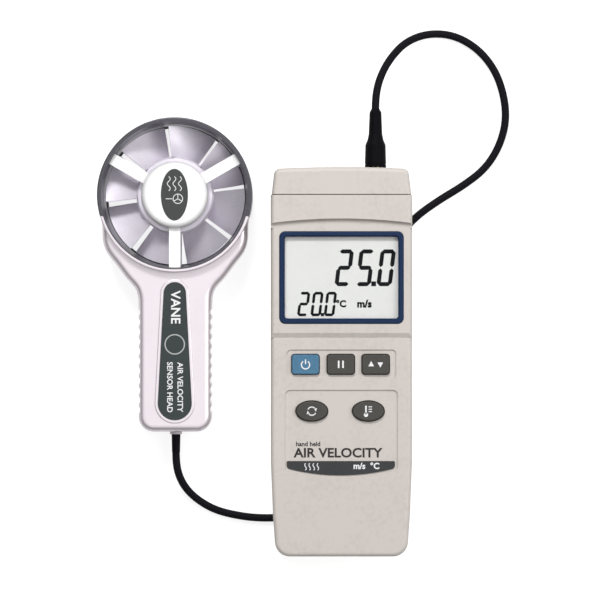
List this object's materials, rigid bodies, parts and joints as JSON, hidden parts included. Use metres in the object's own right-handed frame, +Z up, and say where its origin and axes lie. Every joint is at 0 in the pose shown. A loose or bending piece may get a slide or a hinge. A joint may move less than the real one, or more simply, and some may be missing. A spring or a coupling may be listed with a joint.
{
  "type": "vane anemometer",
  "caption": "Hand-held air-speed meter with a display and press keys, joined by a plug-in lead to a vane probe with a bladed rotor.",
  "frame": {"origin": "bottom centre of the box of meter and probe together, without the lead, on the surface they lie on", "axes": "+Z up, out of the display; +Y along the meter towards its socket end; +X from the probe to the meter"},
  "size_m": [0.1928, 0.2456, 0.0358],
  "materials": {
    "case": "fine textured warm light grey moulding",
    "bezel": "navy blue printed frame",
    "window": "clear flat window",
    "lcd": "pale grey reflective display",
    "elastomer": "soft silicone",
    "circuit_board": "green laminate",
    "steel": "plated steel",
    "nameplate": "smooth slate grey plate",
    "key_blue": "steel blue key",
    "key_grey": "dark warm grey key",
    "foot_rubber": "black rubber",
    "brass": "plain brass",
    "battery": "plain dark jacket",
    "plug_plastic": "black moulding",
    "probe_silver": "pearl silver paint",
    "duct_metal": "dark anodised duct wall",
    "hub_white": "smooth white",
    "badge": "dark printed oval",
    "label": "dark green-grey inlay",
    "bearing": "bearing cup",
    "blade": "brushed sheet metal",
    "gland": "pale boss",
    "cord_rubber": "satin black jacket",
    "contact": "plated contacts"
  },
  "bodies": {
    "meter": {"front_case": "case", "back_case": "case", "top_cap": "case", "display_bezel": "bezel", "display_window": "window", "lcd_panel": "lcd", "lcd_connector": "elastomer", "main_board": "circuit_board", "keypad_mat": "elastomer", "dome_switches": "steel", "nameplate": "nameplate", "sensor_socket": "plug_plastic", "socket_insert": "plug_plastic", "battery": "battery", "battery_clip": "plug_plastic", "stand_pin": "steel", "rubber_feet": "foot_rubber", "case_screws": "steel", "board_screws": "steel", "tripod_nut": "brass"},
    "probe": {"probe_front_shell": "probe_silver", "probe_rear_shell": "probe_silver", "wind_ring": "duct_metal", "front_spider": "hub_white", "rear_spider": "hub_white", "hub_badge": "badge", "handle_label": "label", "front_bearing": "bearing", "rear_bearing": "bearing", "pickup_sensor": "plug_plastic", "temperature_sensor": "steel", "probe_board": "circuit_board", "probe_screws": "steel", "cable_gland": "gland", "strain_relief": "cord_rubber", "sensor_cable": "cord_rubber", "plug_body": "plug_plastic", "plug_contacts": "contact"},
    "rotor": {"vane_hub": "blade", "vane_blades": "blade", "rotor_shaft": "steel", "rotor_magnet": "steel"},
    "power_key": {"power_button": "key_blue"},
    "hold_key": {"hold_button": "key_grey"},
    "record_key": {"record_button": "key_grey"},
    "unit_key": {"unit_button": "key_grey"},
    "degree_key": {"degree_button": "key_grey"},
    "stand": {"tilt_stand": "case"},
    "door": {"battery_door": "case"}
  },
  "joints": [
    {"name": "plug_pull", "type": "slide", "parent": "meter", "child": "probe", "axis": [0, 1, 0], "range_m": [0, 0.009]},
    {"name": "vane_spin", "type": "hinge", "parent": "probe", "child": "rotor", "pos_m": [-0.037, 0.0657, 0.0135], "axis": [0, 0, 1], "continuous": true},
    {"name": "power_press", "type": "slide", "parent": "meter", "child": "power_key", "axis": [0, 0, -1], "range_m": [0, 0.001], "stiffness_N_per_m": 400, "springref_m": -0.002},
    {"name": "hold_press", "type": "slide", "parent": "meter", "child": "hold_key", "axis": [0, 0, -1], "range_m": [0, 0.001], "stiffness_N_per_m": 400, "springref_m": -0.002},
    {"name": "record_press", "type": "slide", "parent": "meter", "child": "record_key", "axis": [0, 0, -1], "range_m": [0, 0.001], "stiffness_N_per_m": 400, "springref_m": -0.002},
    {"name": "unit_press", "type": "slide", "parent": "meter", "child": "unit_key", "axis": [0, 0, -1], "range_m": [0, 0.001], "stiffness_N_per_m": 400, "springref_m": -0.002},
    {"name": "degree_press", "type": "slide", "parent": "meter", "child": "degree_key", "axis": [0, 0, -1], "range_m": [0, 0.001], "stiffness_N_per_m": 400, "springref_m": -0.002},
    {"name": "stand_fold", "type": "hinge", "parent": "meter", "child": "stand", "pos_m": [0.04035, 0.0173, 0.0064], "axis": [1, 0, 0], "range_deg": [0, 50]},
    {"name": "door_slide", "type": "slide", "parent": "meter", "child": "door", "axis": [0, -1, 0], "range_m": [0, 0.055]}
  ]
}
